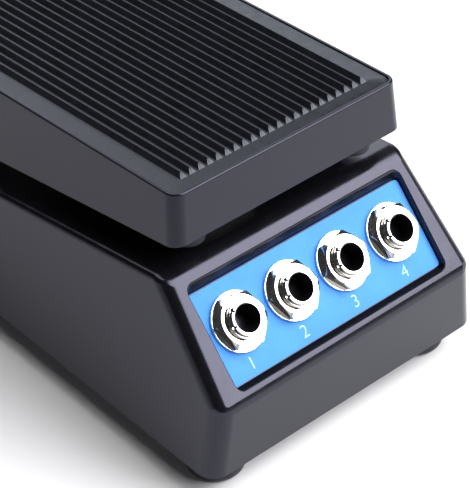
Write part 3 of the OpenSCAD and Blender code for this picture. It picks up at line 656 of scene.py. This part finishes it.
# ---------------------------------------------------------------- treadle
def make_treadle():
    """A tray with a flared skirt that deepens to a round keel under the axle."""
    keel_r, edge, deep, past = 9 * MM, 0.5 * MM, 30 * MM, MM
    middle = TREADLE_LEN / 2
    # Levels down from the rounded top edge, as (outwards, height)
    levels = [(-edge * (1 - math.sin(a)), -RIM_DROP - edge * (1 - math.cos(a)))
              for a in (math.radians(15 * k) for k in range(7))]
    levels.append((SKIRT_FLARE * deep / SKIRT_END, -deep))
    bm = bmesh.new()
    loft(bm, [[(x, middle + t, h) for x, t in rounded_rect(TREADLE_W + 2 * out, TREADLE_LEN + 2 * out,
                                                           TREADLE_R + min(out, 0))] for out, h in levels])
    treadle = make_object("treadle_skin", bm)

    # The skirt's lower line: straight to each end from the round keel
    keel_w = keel_r - SKIRT_MID
    run = middle + SKIRT_FLARE
    reach = math.hypot(run, keel_w + SKIRT_END)
    tangent = math.degrees(math.asin(keel_r / reach) + math.atan2(keel_w + SKIRT_END, run))
    keel = arc(middle, keel_w, keel_r, 270 - tangent, 270 + tangent, 12)
    fall = (-SKIRT_END - keel[0][1]) / (-SKIRT_FLARE - keel[0][0])
    far, under, wide = 20 * MM, 60 * MM, 100 * MM
    end_w = -SKIRT_END - fall * (far - SKIRT_FLARE)
    line = [(-far, end_w), *keel, (TREADLE_LEN + far, end_w)]
    below = prism([(-far, -under), *line, (TREADLE_LEN + far, -under)], -wide, wide)
    combine(treadle, make_object("below", below))

    def on_line(p):
        k = next(k for k in range(len(line) - 1) if p.y <= line[k + 1][0])
        (t1, w1), (t2, w2) = line[k], line[k + 1]
        return abs(p.z - w1 - (w2 - w1) * (p.y - t1) / (t2 - t1)) < SAME

    lower_edge, end_zone, hollow_r, hollow_low = 0.4 * MM, 5 * MM, 2.5 * MM, -40 * MM

    def radius(a, b):
        # Rounds the skirt's lower edge, but no edge that runs straight across the cut
        across = abs(a.x - b.x) > 2 * end_zone and end_zone < a.y < TREADLE_LEN - end_zone
        return lower_edge if on_line(a) and on_line(b) and not across else 0

    bevel_edges(treadle, lower_edge, radius, segments=3)
    inner = TREADLE_W / 2 - TREADLE_WALL
    roof = -MAT_POCKET - ROOF_T
    hollow = bmesh.new()
    ring = [(x, middle + t) for x, t in rounded_rect(2 * inner, TREADLE_LEN - 2 * TREADLE_WALL, hollow_r)]
    loft(hollow, [[(x, t, w) for x, t in ring] for w in (roof, hollow_low)])
    combine(treadle, make_object("hollow", hollow))
    for bm in treadle_fittings(inner, roof):
        combine(treadle, make_object("fitting", bm), "UNION")
    pocket = bmesh.new()
    ring = [(x, middle + t) for x, t in rounded_rect(TREADLE_W - 2 * RIM_W, TREADLE_LEN - 2 * RIM_W,
                                                     TREADLE_R - RIM_W)]
    loft(pocket, [[(x, t, w) for x, t in ring] for w in (-MAT_POCKET, past)])
    combine(treadle, make_object("pocket", pocket))
    treadle.data.transform(ON_TREADLE)
    finish_shading(treadle)
    dress(treadle, "treadle_plastic", "treadle", "treadle_shell")


def treadle_fittings(inner, roof):
    """The axle bosses with their webs, and the stiffening ribs under the roof."""
    middle = TREADLE_LEN / 2
    depth, into = 15.5 * MM, 0.2 * MM
    boss_r, boss_len, web = 6 * MM, 4.3 * MM, 1.5 * MM
    # The boss's arc leaves out the degrees where the web meets it
    web_left, web_right = 104.5, 435.5
    rib_x_mm, rib_half, rib_h, rib_end = 13.8, 0.8 * MM, 3 * MM, 1.8 * MM
    for s in (-1, 1):
        x1, x2 = s * (inner - boss_len), s * (inner + into)
        outline = arc(middle, -depth, boss_r, web_left, web_right, 32) + [
            (middle + web, roof + into), (middle - web, roof + into)]
        yield prism(outline, min(x1, x2), max(x1, x2))
        rib = [(rib_end, roof - rib_h), (TREADLE_LEN - rib_end, roof - rib_h),
               (TREADLE_LEN - rib_end, roof + into), (rib_end, roof + into)]
        x = s * rib_x_mm * MM
        yield prism(rib, x - rib_half, x + rib_half)


def make_mat():
    """The ribbed mat: a plate with a flat border, and ribs whose ends slant down to it."""
    side = RIM_W + MAT_GAP
    border, crest, valley = -0.3 * MM, 0.24 * MM, 0.7 * MM
    slant, soft, shoulder = 1.1 * MM, 0.07 * MM, 1.5
    toe_dip, under = 0.75 * MM, 0.9 * MM - MAT_POCKET
    flank = (RIB_PITCH - crest - valley) / 2
    middle = TREADLE_LEN / 2
    bm = bmesh.new()
    xs = []
    for k in range(RIB_N):
        x = (k - (RIB_N - 1) / 2) * RIB_PITCH
        xs += [(x - crest / 2 - flank, 0), (x - crest / 2 - soft, RIB_H - shoulder * soft),
               (x - crest / 2 + soft, RIB_H), (x + crest / 2 - soft, RIB_H),
               (x + crest / 2 + soft, RIB_H - shoulder * soft), (x + crest / 2 + flank, 0)]
    end = BORDER_END
    rows = [(end, 0), (end + slant, 1), (TREADLE_LEN - end - slant, 1), (TREADLE_LEN - end, 0)]

    def dip(t):
        """How far the border has sunk at t, towards the toe."""
        return toe_dip * max(0.0, 1 - t / end)

    grid = [[bm.verts.new((x, t, border + h * rise)) for x, h in xs] for t, rise in rows]
    for j, (a, b) in enumerate(zip(grid, grid[1:])):
        for k in range(len(xs) - 1):
            # The quads at the ribs' ends fold from the foot of the end to the crest
            if j == 1 or xs[k][1] == xs[k + 1][1]:
                bm.faces.new((a[k], a[k + 1], b[k + 1], b[k]))
                continue
            low, high = (a, b) if j == 0 else (b, a)
            first, last = (k, k + 1) if xs[k][1] < xs[k + 1][1] else (k + 1, k)
            bm.faces.new((low[first], low[last], high[last]))
            bm.faces.new((low[first], high[last], high[first]))
    # Flat border out to a soft edge, and the plate's sides and back
    edge, halfway = 0.12 * MM, 0.04 * MM
    inner = [grid[0][k] for k in range(len(xs))] + [grid[1][-1], grid[2][-1]]
    inner += [grid[3][k] for k in reversed(range(len(xs)))] + [grid[2][0], grid[1][0]]
    w, length, r = TREADLE_W - 2 * side, TREADLE_LEN - 2 * side, TREADLE_R - side
    levels = [(edge, border), (halfway, border - halfway), (0, border - edge), (0, under)]
    rings = [[bm.verts.new((x, middle + t, h - dip(middle + t)))
              for x, t in rounded_rect(w - 2 * e, length - 2 * e, r - e)] for e, h in levels]
    for a, b in zip(rings, rings[1:]):
        for k in range(len(a)):
            n = (k + 1) % len(a)
            bm.faces.new((a[k], a[n], b[n], b[k]))
    bm.faces.new(rings[-1])
    loops = [bm.edges.get((p, q)) for ring in (inner, rings[0]) for p, q in zip(ring, ring[1:] + ring[:1])]
    bmesh.ops.triangle_fill(bm, edges=[e for e in loops if e], use_beauty=True)
    mat = make_object("rubber_mat_skin", bm, ON_TREADLE)
    finish_shading(mat, angle=20)
    dress(mat, "mat_rubber", "treadle", "rubber_mat")


def make_feet():
    """Rubber feet with a rounded tread edge, a faint mould line and a recess for the screw."""
    soft, top = 2.2 * MM, BASE_Z
    screw_r, recess_r, mouth_r, seat = 1.7 * MM, 3.4 * MM, 3.7 * MM, 4 * MM
    edge, rim = 0.3 * MM, 0.6 * MM
    outline = [(screw_r, seat), (recess_r, seat), (recess_r, edge), (mouth_r, 0)]
    outline += arc(FOOT_R - soft, soft, soft, -90, 0, 10)
    # The mould line, as millimetres in and up, and the rounded top
    outline += [(FOOT_R - go_in * MM, up * MM) for go_in, up in ((0.05, 4.6), (0.15, 4.7))]
    outline += [(FOOT_R - edge, top - edge), (FOOT_R - rim, top), (screw_r, top)]
    for name in [n for n in NODES if n.startswith("foot_") and n != "foot_screws"]:
        low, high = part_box(name)
        bm = bmesh.new()
        lathe(bm, outline, sides=72)
        place = Matrix.Translation(((low.x + high.x) / 2, (low.y + high.y) / 2, low.z))
        foot = make_object(f"{name}_skin", bm, place)
        finish_shading(foot)
        dress(foot, "foot_rubber", "base", name)


def make_bumpers():
    """Rubber bumpers plugged into the treadle, each a soft-edged disc on a stem."""
    r, low, seat = BUMPER_R, BUMPER_LOW, BUMPER_SEAT
    soft, edge, stem, stem_len = 0.9 * MM, 0.3 * MM, 1.6 * MM, 3.8 * MM
    axis = 0.0002 * MM  # nearly on the axis; finish_shading joins these points into one
    outline = [(axis, low), (r - soft, low)]
    outline += arc(r - soft, low + soft, soft, -80, 0, 8)
    outline += [(r, seat - edge), (r - edge, seat), (stem, seat), (stem, seat + stem_len),
                (axis, seat + stem_len)]
    for name in [n for n in NODES if n.startswith("bumper_")]:
        side = 1 if name.endswith("right") else -1
        t = BUMPER_IN if "toe" in name else TREADLE_LEN - BUMPER_IN
        bm = bmesh.new()
        lathe(bm, outline, sides=64, centre=(side * BUMPER_X, t))
        bumper = make_object(f"{name}_skin", bm, ON_TREADLE)
        finish_shading(bumper)
        dress(bumper, "foot_rubber", "treadle", name)


# ---------------------------------------------------------------- CAD nodes that stay
def dress_nodes():
    """Gives each CAD node that is still shown the material of its slot in the record."""
    replaced = {"base_shell", "label_plate", "socket_washers", "socket_nuts", "treadle_shell", "rubber_mat"}
    slots = {s["node"]: s["material_slot"] for s in RECORD["subparts"]}
    for name, node in NODES.items():
        if name in replaced or name.startswith(("socket_sleeve", "foot_front", "foot_rear", "bumper")):
            continue
        node.data.materials.clear()
        node.data.materials.append(MATERIALS[slots[name]])


# ---------------------------------------------------------------- stage
def area_light(name, towards, distance, size, strength, colour=(1, 1, 1)):
    """A soft box that faces the object from a direction; strength is its radiance."""
    aim = Vector((0, -0.05, 0.04))
    data = bpy.data.lights.new(name, "AREA")
    data.shape = "RECTANGLE"
    data.size, data.size_y = size
    data.energy = strength * size[0] * size[1] * math.pi
    data.color = colour
    light = bpy.data.objects.new(name, data)
    bpy.context.collection.objects.link(light)
    direction = Vector(towards).normalized()
    light.location = direction * distance + aim
    light.rotation_mode = "QUATERNION"
    light.rotation_quaternion = direction.to_track_quat("Z", "Y")
    light.visible_camera = False


def make_stage():
    """Pale floor, three soft boxes, and a world that is bright only near the horizon."""
    floor_r, horizon, dim_from = 6, 0.1, 0.26
    bm = bmesh.new()
    bmesh.ops.create_circle(bm, cap_ends=True, segments=96, radius=floor_r)
    floor = make_object("floor", bm)
    n = Nodes("floor")
    n.link(n.colours(n.noise(3, 2), [(0.3, (0.80, 0.80, 0.80)), (0.7, (0.82, 0.82, 0.82))]),
           n.shader.inputs["Base Color"])
    n.set(Roughness=0.7)
    floor.data.materials.append(n.material)
    area_light("key", (0.53, -0.60, 0.84), 0.9, (0.9, 0.78), 8.4, (0.98, 0.97, 1))
    area_light("top", (0.1, 0.4, 1), 1.4, (1.3, 1.3), 2.6)
    area_light("back_right", (0.546, 0.70, 0.40), 1.0, (0.9, 0.32), 2.6, (0.88, 0.92, 1))

    world = bpy.data.worlds.new("world")
    bpy.context.scene.world = world
    world.use_nodes = True
    tree = world.node_tree
    shade = tree.nodes["Background"]
    place = tree.nodes.new("ShaderNodeTexCoord")
    split = tree.nodes.new("ShaderNodeSeparateXYZ")
    ramp = tree.nodes.new("ShaderNodeValToRGB")
    bright, dim = ramp.color_ramp.elements
    bright.position, bright.color = horizon, (0.8, 0.8, 0.8, 1)
    dim.position, dim.color = dim_from, (0.04, 0.04, 0.045, 1)
    tree.links.new(place.outputs["Generated"], split.inputs[0])
    tree.links.new(split.outputs["Z"], ramp.inputs["Fac"])
    tree.links.new(ramp.outputs["Color"], shade.inputs["Color"])
    bpy.context.scene.view_settings.view_transform = "Standard"


make_camera()
make_base()
make_label()
make_numerals()
make_washers()
make_nuts()
for number, mount in enumerate(SOCKETS, 1):
    make_sleeve(number, mount)
make_treadle()
make_mat()
make_feet()
make_bumpers()
dress_nodes()
make_stage()
